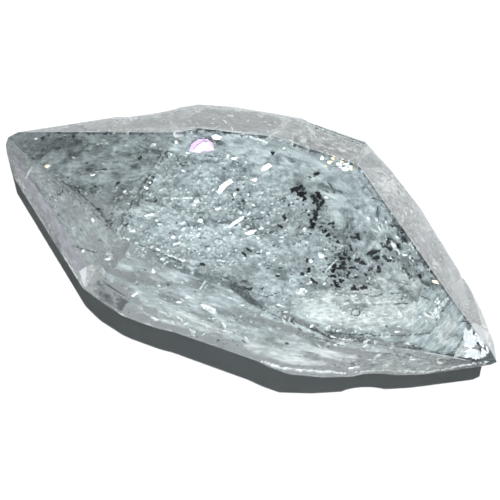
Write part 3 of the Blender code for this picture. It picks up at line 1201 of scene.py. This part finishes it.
    def build(self) -> Object:
        """Build the lines as one mesh.

        Returns:
            The mesh.
        """
        rng = random.Random(self.seed)
        shards = Shards("crack_rims", [GasFilm(kind).material() for kind in Frost])
        for trace in self.traces:
            for start, end in zip(trace.points, trace.points[1:]):
                self.add_stretch(shards, trace, start, end, rng)
        return shards.build()

    def add_stretch(self, shards: Shards, trace: Trace, start: Spot, end: Spot, rng: random.Random) -> None:
        """Add the slivers of one straight stretch of a line.

        Args:
            shards: what gathers the slivers.
            trace: the line.
            start: the stretch's first end.
            end: its other end.
            rng: the source of chance.
        """
        run, fall = end[0] - start[0], end[1] - start[1]
        turn = math.degrees(math.atan2(fall, run))
        steps = max(1, round(math.hypot(run, fall) / self.apart))
        for i in range(steps):
            if rng.random() < trace.gaps:
                continue
            share = (i + 0.5) / steps
            place = (start[0] + run * share + rng.gauss(0, self.jitter),
                     start[1] + fall * share + rng.gauss(0, self.jitter))
            reach = (rng.uniform(*self.half_length), trace.width * rng.uniform(*self.width_share))
            shards.add_seen(place, reach, turn, self.depth_mm, self.corners, rng,
                            list(Frost).index(trace.frost), self.half_mm)


@dataclass(frozen=True)
class Fleck:
    """One black fleck: its place, half sizes and turn in the photograph's pixels and degrees."""
    place: Spot
    reach: Spot
    turn: float = 0.0
    depth_mm: float = 0.3


@dataclass(frozen=True)
class DustCloud:
    """Where fine black dust lies: its middle and reach in the photograph's pixels, and how many."""
    middle: Spot
    reach: Spot
    count: int


@dataclass
class BitumenFlecks:
    """The black flecks, each a crumbling clump, and the fine black dust around them.

    Crumbs are in pixels, and spread is how far they stray, as shares of the fleck's half sizes.
    """
    finish: HardenedBitumen = field(default_factory=HardenedBitumen)
    seed: int = 8
    least_crumbs: int = 4
    crumbs_per_pixel: float = 0.8
    spread: Pair = (0.55, 0.6)
    crumb_length: Span = (1.0, 1.9)
    crumb_width: Span = (0.8, 1.3)
    flatness: float = 0.8
    depth_jitter_mm: float = 0.08
    dust_mm: float = 0.026
    dust_size_spread: float = 0.5
    dust_spread: float = 0.55
    dust_stretch: float = 1.4
    dust_depth_mm: Span = (0.2, 0.9)
    clouds: Sequence[DustCloud] = (
        DustCloud((352, 268), (34, 24), 90), DustCloud((405, 236), (20, 22), 110),
        DustCloud((420, 262), (14, 30), 30), DustCloud((318, 205), (14, 30), 20),
        DustCloud((230, 230), (120, 90), 90), DustCloud((80, 165), (60, 35), 50),
        DustCloud((330, 225), (40, 30), 50),
    )
    flecks: Sequence[Fleck] = (
        Fleck((295, 189), (5.5, 2.2), -14), Fleck((301, 187), (2.4, 2)), Fleck((301, 194), (4, 3), 20),
        Fleck((304, 199), (1.5, 2)), Fleck((313, 197), (3, 2)), Fleck((319, 196), (2.4, 3.4), -20),
        Fleck((316, 201), (3.2, 2.4), 40), Fleck((322, 203), (3.4, 1.8), -45),
        Fleck((318, 208), (1.6, 3), 15), Fleck((316, 213), (2.2, 3.2), 10),
        Fleck((315, 218), (2.2, 2.8)), Fleck((311, 221), (1.5, 2)), Fleck((314, 224), (2.8, 2)),
        Fleck((312, 227), (3.6, 1.2), -8), Fleck((317, 174), (3, 1.3), -10),
        Fleck((284, 217), (1.6, 2.5), -30), Fleck((280, 226), (2.4, 1.3)),
        Fleck((333, 223), (1.8, 1), -20), Fleck((328, 235), (2.4, 1.1), -15),
        Fleck((325, 231), (1.8, 0.9)), Fleck((337, 242), (1.8, 1), 30), Fleck((354, 238), (3.6, 1.4)),
        Fleck((358, 236), (2.4, 3.2), 15), Fleck((341, 258), (3, 1.4), 10),
        Fleck((349, 259), (1.4, 2), 60), Fleck((345, 254), (1.4, 1.2)),
        Fleck((351, 249), (1.3, 2.6), -20), Fleck((334, 266), (2.6, 2.4)),
        Fleck((341, 268), (3.6, 1.6)), Fleck((344, 263), (1.2, 2.8), 10), Fleck((333, 271), (1.8, 2.2)),
        Fleck((333, 276), (3.2, 1.4)), Fleck((335, 283), (1.5, 2.8), -25),
        Fleck((337, 286), (1.6, 1.2)), Fleck((342, 281), (2.8, 1.1), -25),
        Fleck((348, 275), (1.3, 2.5), 30), Fleck((353, 268), (3, 1.2), 10),
        Fleck((358, 260), (2.6, 1.4)), Fleck((363, 263), (2.8, 1.3), 30),
        Fleck((372, 253), (5, 2.2), -12), Fleck((376, 258), (3.8, 1.8), -8),
        Fleck((384, 257), (2.8, 1.1), 35), Fleck((388, 261), (1.4, 0.8)), Fleck((379, 268), (1.3, 1.8)),
        Fleck((378, 272), (2.4, 1.4)), Fleck((371, 269), (2.2, 1), 20), Fleck((357, 277), (2.4, 0.9)),
        Fleck((366, 275), (1.4, 0.8)), Fleck((354, 289), (3.4, 1.7)), Fleck((363, 288), (3.8, 1.5), -8),
        Fleck((307, 261), (0.9, 1.8)), Fleck((309, 270), (1.2, 2.4), 20), Fleck((303, 274), (1.8, 1)),
        Fleck((314, 281), (2.8, 0.8), 40), Fleck((420, 276), (1.6, 2.2)),
        Fleck((388, 241), (1.5, 4), 5), Fleck((390, 249), (2, 2.4), -30),
        Fleck((398, 246), (1.4, 2.2), -30), Fleck((396, 226), (3.4, 1.4), 20),
        Fleck((404, 231), (4, 1.6), 25), Fleck((411, 237), (3, 1), 35),
        Fleck((404, 239), (2.6, 0.8), 35), Fleck((44, 138), (1.7, 1.3)), Fleck((287, 343), (1.2, 1.4)),
        Fleck((203, 264), (2.6, 0.9), 10), Fleck((248, 289), (2.8, 0.9), 15),
        Fleck((140, 158), (3, 1.4), -25), Fleck((118, 183), (2.4, 1.4)),
        Fleck((244, 254), (2.6, 0.8), 40), Fleck((249, 250), (1.8, 0.8), 35),
        Fleck((278, 276), (1.6, 0.7), -10), Fleck((98, 209), (2.4, 1), 15),
        Fleck((272, 153), (1.6, 1.1)), Fleck((60, 194), (4, 1), -20), Fleck((52, 197), (1.4, 1.6)),
    )

    def build(self) -> Object:
        """Build the flecks as one mesh.

        Returns:
            The mesh.
        """
        rng = random.Random(self.seed)
        shards = Shards("bitumen_flecks", [self.finish.material()])
        for fleck in self.flecks:
            self.crumble(fleck, shards, rng)
        for cloud in self.clouds:
            self.dust(cloud, shards, rng)
        return shards.build()

    def crumble(self, fleck: Fleck, shards: Shards, rng: random.Random) -> None:
        """Build one fleck as a heap of angular crumbs.

        Args:
            fleck: the fleck.
            shards: what gathers the crumbs.
            rng: the source of chance.
        """
        angle = math.radians(fleck.turn)
        turn = Matrix(VIEW.axes()).transposed() @ Matrix.Rotation(-angle, 3, "Z")
        wide, tall = fleck.reach
        crumbs = [(0.0, 0.0, wide, max(tall, 1.0) * 1.1)]
        for _ in range(round(self.least_crumbs + wide * tall * self.crumbs_per_pixel)):
            along, across = rng.gauss(0, self.spread[0]) * wide, rng.gauss(0, self.spread[1]) * tall
            crumbs.append((along, across, rng.uniform(*self.crumb_length), rng.uniform(*self.crumb_width)))
        for along, across, long, short in crumbs:
            depth_mm = fleck.depth_mm + rng.uniform(-self.depth_jitter_mm, self.depth_jitter_mm)
            spot = VIEW.inside(turned(fleck.place, along, across, angle), depth_mm)
            if spot is not None:
                long_mm, short_mm = long * PIXEL_MM, short * PIXEL_MM
                shards.add_lump(spot, (long_mm, short_mm, self.flatness * short_mm), turn, rng)

    def dust(self, cloud: DustCloud, shards: Shards, rng: random.Random) -> None:
        """Strew one cloud of fine black grains.

        Args:
            cloud: the cloud.
            shards: what gathers the grains.
            rng: the source of chance.
        """
        for _ in range(cloud.count):
            place = (rng.gauss(cloud.middle[0], cloud.reach[0] * self.dust_spread),
                     rng.gauss(cloud.middle[1], cloud.reach[1] * self.dust_spread))
            spot = VIEW.inside(place, rng.uniform(*self.dust_depth_mm))
            if spot is not None:
                size = self.dust_mm * math.exp(rng.gauss(0, self.dust_size_spread))
                shards.add_lump(spot, (size * self.dust_stretch, size, size), any_turn(rng), rng)


@dataclass(frozen=True)
class Glint:
    """One bright crack: its place, half sizes and turn in the photograph's pixels and degrees."""
    place: Spot
    reach: Spot
    turn: float = 0.0
    flash: Flash = Flash.SILVER
    depth_mm: float = 0.4


@dataclass(frozen=True)
class GlintPatch:
    """One larger bright crack, with its rim in the photograph's pixels."""
    rim: Sequence[Spot]
    flash: Flash = Flash.SILVER
    depth_mm: float = 0.35


@dataclass
class OpenCracks:
    """Small open cracks, turned so that the photographed ones throw the light at the camera.

    The sparks are small cracks that face all ways, so that some flash from any side. Where they
    lie is in the photograph's pixels. The bright cracks at the right tip are painted reflections of
    its faces, and those along the edge beside it are a painted highlight of that edge.
    """
    seed: int = 21
    half_mm: float = 0.015
    light_from: Triple = (0.21, -0.45, 0.87)
    rim_share: Span = (0.45, 1.1)
    glint_corners: int = 8
    cluster_corners: int = 6
    spark_count: int = 220
    spark_middle: Spot = (240, 225)
    spark_spread: Spot = (95, 55)
    spark_depth_mm: Span = (0.3, 6.0)
    spark_mm: float = 0.07
    spark_size_spread: float = 0.4
    spark_stretch: float = 1.5
    spark_half_mm: float = 0.012
    spark_corners: int = 5
    silver_share: float = 0.8
    glints: Sequence[Glint] = (
        Glint((176, 142), (2.5, 2)), Glint((228, 156), (3, 2), -60), Glint((235, 158), (4, 1.8), -10),
        Glint((234, 195), (2, 4), 30), Glint((322, 158), (3, 3)),
        Glint((330, 162), (3, 2), 0, Flash.AMBER), Glint((340, 165), (4, 3), 10),
        Glint((347, 163), (4, 2.6), -10), Glint((345, 169), (5, 2.6), 5),
        # The pink glint at (337, 170) paints a colour fringe round the bright cluster beside it.
        Glint((337, 170), (2.4, 1.6), 0, Flash.PINK), Glint((351, 168), (2.6, 2.6), 0, Flash.AMBER),
        Glint((333, 158), (2, 1.6), 0, Flash.AMBER), Glint((326, 166), (2, 1.3), 0, Flash.AMBER),
        Glint((354, 164), (1.8, 1.6)), Glint((343, 160), (2.4, 1.3), 0, Flash.AMBER),
        Glint((47, 166), (3.5, 1.8), -15, Flash.AMBER), Glint((93, 175), (3, 1.3), -20),
        Glint((436, 282), (5, 2), 5, Flash.AMBER), Glint((158, 250), (4, 1.8), 20),
        Glint((173, 237), (3, 2)), Glint((176, 244), (3, 1.6), -10), Glint((148, 215), (5, 1.6), -20),
        Glint((93, 220), (2.3, 2.3)), Glint((147, 188), (2.2, 1.6)), Glint((150, 182), (2, 1.6)),
        Glint((153, 271), (2.2, 2.6), -30), Glint((134, 295), (5, 1.6), -30),
        Glint((200, 220), (2.4, 1.6)), Glint((322, 256), (3, 2)), Glint((311, 261), (1.8, 2)),
        Glint((368, 218), (2, 2)), Glint((405, 255), (2.6, 1.6), 20), Glint((378, 171), (2.4, 1.5)),
        Glint((246, 162), (1.5, 1.5)), Glint((121, 121), (6, 1.1), -6), Glint((134, 119), (5, 1.1), -6),
        Glint((258, 238), (3, 1.8)), Glint((262, 228), (2, 1.6)), Glint((255, 180), (3, 2), -20),
        Glint((195, 205), (2, 1.8)), Glint((268, 253), (2, 1.5)), Glint((400, 314), (3, 1.6)),
        Glint((398, 332), (4, 1.4)), Glint((351, 368), (3, 1.4), -10), Glint((36, 139), (3, 1.2)),
        Glint((83, 251), (1.8, 1.6)), Glint((108, 259), (3.4, 1.2), -15),
        Glint((284, 148), (2, 1.2), -15),
    )
    clusters: Sequence[SpeckField] = (
        # Painted reflection: the first four clusters lie just under the right tip's faces, for the flash
        # off them.
        SpeckField((479, 334), (9, 10), 46, 1.7, (0.12, 0.3), turn=40, stretch=1.4),
        SpeckField((485, 347), (5, 9), 22, 1.5, (0.12, 0.25), turn=60, stretch=1.4),
        SpeckField((470, 338), (7, 9), 26, 1.8, (0.1, 0.3), turn=-40, stretch=1.5),
        SpeckField((476, 354), (11, 5), 30, 1.6, (0.1, 0.25), turn=-10, stretch=1.6),
        SpeckField((388, 181), (11, 6), 14, 1.0, (0.2, 0.4), turn=40, stretch=2.4),
        # Painted highlight along the edge beside the right tip.
        SpeckField((437, 310), (3, 12), 12, 1.2, (0.2, 0.4), turn=-50, stretch=2.2),
        SpeckField((345, 165), (8, 4), 10, 1.2, (0.3, 0.4), turn=0, stretch=1.2),
    )
    patches: Sequence[GlintPatch] = (
        GlintPatch(((193, 151), (197, 146), (203, 142), (208, 142), (214, 150), (205, 149),
                   (199, 152))),
        # Painted colour fringe of a highlight: a pink crack round the white glint before it.
        GlintPatch(((189, 151), (191, 144), (198, 139), (207, 139), (213, 143), (214, 150),
                   (200, 153)), Flash.PINK, 0.46),
        GlintPatch(((173, 133), (178, 130), (184, 131), (183, 136), (175, 138))),
        GlintPatch(((211, 136), (216, 134), (222, 137), (219, 140), (213, 139))),
        GlintPatch(((217, 193), (220, 186), (225, 182), (231, 179), (233, 182), (226, 187),
                   (221, 193))),
        GlintPatch(((261, 171), (263, 166), (269, 163), (272, 166), (266, 170))),
        GlintPatch(((228, 227), (233, 222), (240, 218), (244, 216), (242, 220), (234, 225),
                   (230, 228))),
        GlintPatch(((245, 233), (251, 230), (256, 230), (253, 234), (247, 235))),
        # Painted reflection: bright patches just under the right tip's faces, for the flash of light off
        # them.
        GlintPatch(((471, 325), (476, 323), (489, 335), (487, 343), (483, 344), (476, 334)),
                   depth_mm=0.2),
        GlintPatch(((463, 338), (465, 327), (472, 335), (477, 345), (467, 346)), depth_mm=0.16),
        GlintPatch(((464, 356), (469, 350), (477, 349), (483, 357), (474, 358)), depth_mm=0.14),
        GlintPatch(((79, 271), (87, 266), (86, 276), (84, 287)), depth_mm=0.12),
        # Painted highlight along the edge beside the right tip.
        GlintPatch(((433, 312), (440, 305), (448, 299), (443, 308), (437, 315), (429, 321)),
                   depth_mm=0.25),
        GlintPatch(((25, 180), (28, 171), (31, 168), (29, 174)), depth_mm=0.12),
    )

    def build(self) -> Object:
        """Build the cracks as one mesh.

        Returns:
            The mesh.
        """
        rng = random.Random(self.seed)
        kinds = list(Flash)
        shards = Shards("open_cracks", [OpenCrack(kind).material() for kind in kinds])
        for glint in self.glints:
            self.add_flash(shards, glint.place, self.ragged(glint, self.glint_corners, rng), glint.depth_mm,
                           kinds.index(glint.flash))
        for cluster in self.clusters:
            for _ in range(cluster.count):
                glint = Glint(cluster.chance_place(rng), (cluster.size * cluster.stretch, cluster.size),
                              cluster.turn, depth_mm=rng.uniform(*cluster.depth_mm))
                self.add_flash(shards, glint.place, self.ragged(glint, self.cluster_corners, rng),
                               glint.depth_mm, 0)
        for patch in self.patches:
            xs, ys = zip(*patch.rim)
            self.add_flash(shards, (sum(xs) / len(xs), sum(ys) / len(ys)), patch.rim, patch.depth_mm,
                           kinds.index(patch.flash))
        self.sparks(shards, rng)
        return shards.build()

    def ragged(self, glint: Glint, count: int, rng: random.Random) -> list[Spot]:
        """Return a ragged rim for a bright crack.

        Args:
            glint: the crack.
            count: how many corners the rim gets.
            rng: the source of its raggedness.

        Returns:
            The corners in the photograph's pixels.
        """
        corners = []
        for x, y in oval(glint.place, glint.reach, glint.turn, count):
            share = rng.uniform(*self.rim_share)
            corners.append((glint.place[0] + (x - glint.place[0]) * share,
                            glint.place[1] + (y - glint.place[1]) * share))
        return corners

    def add_flash(self, shards: Shards, place: Spot, rim: Sequence[Spot], depth_mm: float,
                  slot: int) -> None:
        """Add one crack that throws the light at the camera.

        Args:
            shards: what gathers the cracks.
            place: its middle in the photograph's pixels.
            rim: its corners in the photograph's pixels.
            depth_mm: how deep its middle lies.
            slot: the number of its finish.
        """
        seen = VIEW.sight(place)
        through = VIEW.inside(place, depth_mm)
        if seen is None or through is None:
            log.warning("a crack at %s falls outside the crystal", place)
            return
        facing = (Vector(self.light_from) - seen[1]).normalized()
        corners = [VIEW.on_plane(corner, through, facing) for corner in rim]
        if None in corners:
            corners = [VIEW.inside(corner, depth_mm) for corner in rim]
        if None in corners:
            log.warning("a crack at %s sticks out of the crystal", place)
            return
        shards.add_patch(corners, self.half_mm, slot)

    def sparks(self, shards: Shards, rng: random.Random) -> None:
        """Strew the sparks.

        Args:
            shards: what gathers the cracks.
            rng: the source of chance.
        """
        for _ in range(self.spark_count):
            place = (rng.gauss(self.spark_middle[0], self.spark_spread[0]),
                     rng.gauss(self.spark_middle[1], self.spark_spread[1]))
            spot = VIEW.inside(place, rng.uniform(*self.spark_depth_mm))
            if spot is not None:
                turn = any_turn(rng)
                size = self.spark_mm * math.exp(rng.gauss(0, self.spark_size_spread))
                slot = 0 if rng.random() < self.silver_share else 1
                shards.add_plate(spot, turn.col[2], turn.col[0],
                                 (size * self.spark_stretch, size, self.spark_half_mm), self.spark_corners,
                                 rng, slot)


@dataclass(frozen=True)
class LetIn:
    """One share of the light that the crystal lets in: from where, how strong and how broad."""
    name: str
    place_mm: Triple
    power: float
    size_mm: float


@dataclass
class Studio:
    """A pale floor under a firm overhead light in a soft white room.

    Light that has bounced off a piece or the floor sees the room at passed_strength where it has
    gone through the crystal, and at shade_strength beside it, which makes the shadow deep.
    """
    floor_reach: float = 1.5
    floor_gap_mm: float = 0.02
    key_strength: float = 3.7
    key_spread: float = 0.9
    key_from: Triple = (0.046, 0.056, 1.0)
    let_in: Sequence[LetIn] = (
        LetIn("light_let_in", (13.0, -28.0, 54.0), 0.060, 36.0),
        LetIn("back_light_let_in", (6.0, 46.0, 30.0), 0.014, 30.0),
        LetIn("glow_let_in", (-10.0, 34.0, -26.0), 0.02, 40.0),
    )
    room_shades: Sequence[tuple[float, str]] = ((0.0, "#D5DADC"), (0.5, "#B4BDC1"), (0.85, "#E4E9EB"),
                                                (0.96, "#7D8385"))
    room_strength: float = 0.9
    passed_strength: float = 1.6
    shade_strength: float = 0.055

    def build(self, inclusions: Iterable[Object]) -> None:
        """Build the floor, the lights and the room.

        Args:
            inclusions: the pieces inside the crystal.
        """
        self.key_light(self.floor())
        self.light_let_in(list(inclusions))
        self.room()

    def floor(self) -> Object:
        """Return the floor, a hair below the crystal."""
        r, z = self.floor_reach, -self.floor_gap_mm * MM
        mesh = bpy.data.meshes.new("floor")
        mesh.from_pydata([(-r, -r, z), (r, -r, z), (r, r, z), (-r, r, z)], [], [(0, 1, 2, 3)])
        mesh.materials.append(PaintedBoard().material())
        floor = bpy.data.objects.new("floor", mesh)
        bpy.context.scene.collection.objects.link(floor)
        return floor

    def key_light(self, floor: Object) -> None:
        """Add the firm overhead light, which lights the floor round the crystal.

        Args:
            floor: the floor.
        """
        data = bpy.data.lights.new("key_light", "SUN")
        data.energy = self.key_strength
        data.angle = math.radians(self.key_spread)
        lamp = bpy.data.objects.new("key_light", data)
        lamp.rotation_euler = Vector(self.key_from).to_track_quat("Z", "Y").to_euler()
        bpy.context.scene.collection.objects.link(lamp)
        lamp.light_linking.receiver_collection = gathered("lit_by_key", [floor])

    def light_let_in(self, inclusions: Sequence[Object]) -> None:
        """Add the light that the crystal lets in, from above, from behind and off the floor.

        Cycles can't follow a lamp's light through a bent surface, so these are lamps of their own
        that only the inclusions feel and stop. They are close to the crystal, because their light
        is weakened as if quartz filled the whole way from them.

        Args:
            inclusions: the pieces inside the crystal.
        """
        lit = gathered("lit_inside", inclusions)
        shading = gathered("shading_inside", inclusions)
        for share in self.let_in:
            data = bpy.data.lights.new(share.name, "AREA")
            data.shape = "DISK"
            data.size = share.size_mm * MM
            data.energy = share.power
            lamp = bpy.data.objects.new(share.name, data)
            lamp.location = Vector(share.place_mm) * MM
            lamp.rotation_euler = lamp.location.to_track_quat("Z", "Y").to_euler()
            lamp.visible_camera = False
            bpy.context.scene.collection.objects.link(lamp)
            lamp.light_linking.receiver_collection = lit
            lamp.light_linking.blocker_collection = shading

    def room(self) -> None:
        """Make the room: white to the eye, and graded from above to below in the crystal."""
        world = bpy.data.worlds.new("room")
        bpy.context.scene.world = world
        world.use_nodes = True
        tree = world.node_tree
        tree.nodes.clear()
        ray = add_node(tree, "ShaderNodeLightPath")
        way = add_node(tree, "ShaderNodeTexCoord").outputs["Generated"]
        height = add_node(tree, "ShaderNodeSeparateXYZ", links={0: way}).outputs["Z"]
        room = add_node(tree, "ShaderNodeBackground", values={"Strength": self.room_strength},
                        links={"Color": colour_ramp(tree, height, self.room_shades)}).outputs[0]
        white = linear("#FFFFFF")
        passed, shade, seen = [
            add_node(tree, "ShaderNodeBackground", values={"Color": white, "Strength": strength}).outputs[0]
            for strength in (self.passed_strength, self.shade_strength, 1.0)]
        deep = maths(tree, "GREATER_THAN", ray.outputs["Transmission Depth"], 2.5)
        scattered = maths(tree, "GREATER_THAN", ray.outputs["Diffuse Depth"], 0.5)
        soft = either(tree, deep, shade, passed)
        lit = either(tree, scattered, room, soft)
        light = either(tree, ray.outputs["Is Camera Ray"], lit, seen)
        add_node(tree, "ShaderNodeOutputWorld", links={"Surface": light})


def gathered(name: str, pieces: Sequence[Object]) -> Collection:
    """Gather pieces in a collection of their own, for a lamp to light or to be stopped by.

    Args:
        name: the collection's name.
        pieces: the pieces.

    Returns:
        The collection.
    """
    collection = bpy.data.collections.new(name)
    for piece in pieces:
        collection.objects.link(piece)
    return collection


def set_picture() -> None:
    """Set how light turns into picture colours, and how far light is followed in the crystal."""
    scene = bpy.context.scene
    scene.view_settings.view_transform = "Standard"
    scene.view_settings.look = "None"
    cycles = scene.cycles
    cycles.max_bounces = 18
    cycles.transmission_bounces = 16
    cycles.glossy_bounces = 8
    cycles.diffuse_bounces = 3
    cycles.transparent_max_bounces = 24
    cycles.sample_clamp_indirect = 4.0
    cycles.use_denoising = True


def main() -> None:
    """Build the crystal, what is in it and the studio round it."""
    logging.basicConfig(level=logging.INFO, format="%(name)s: %(message)s")
    VIEW.place_camera()
    pieces = [CrystalBody().build()]
    inclusions = [*Veils().build(), Specks().build(), Traces().build(), BitumenFlecks().build(),
                  OpenCracks().build()]
    for piece in pieces + inclusions:
        log.info("%s has %d faces", piece.name, len(piece.data.polygons))
    Studio().build(inclusions)
    set_picture()


if __name__ == "__main__":
    main()
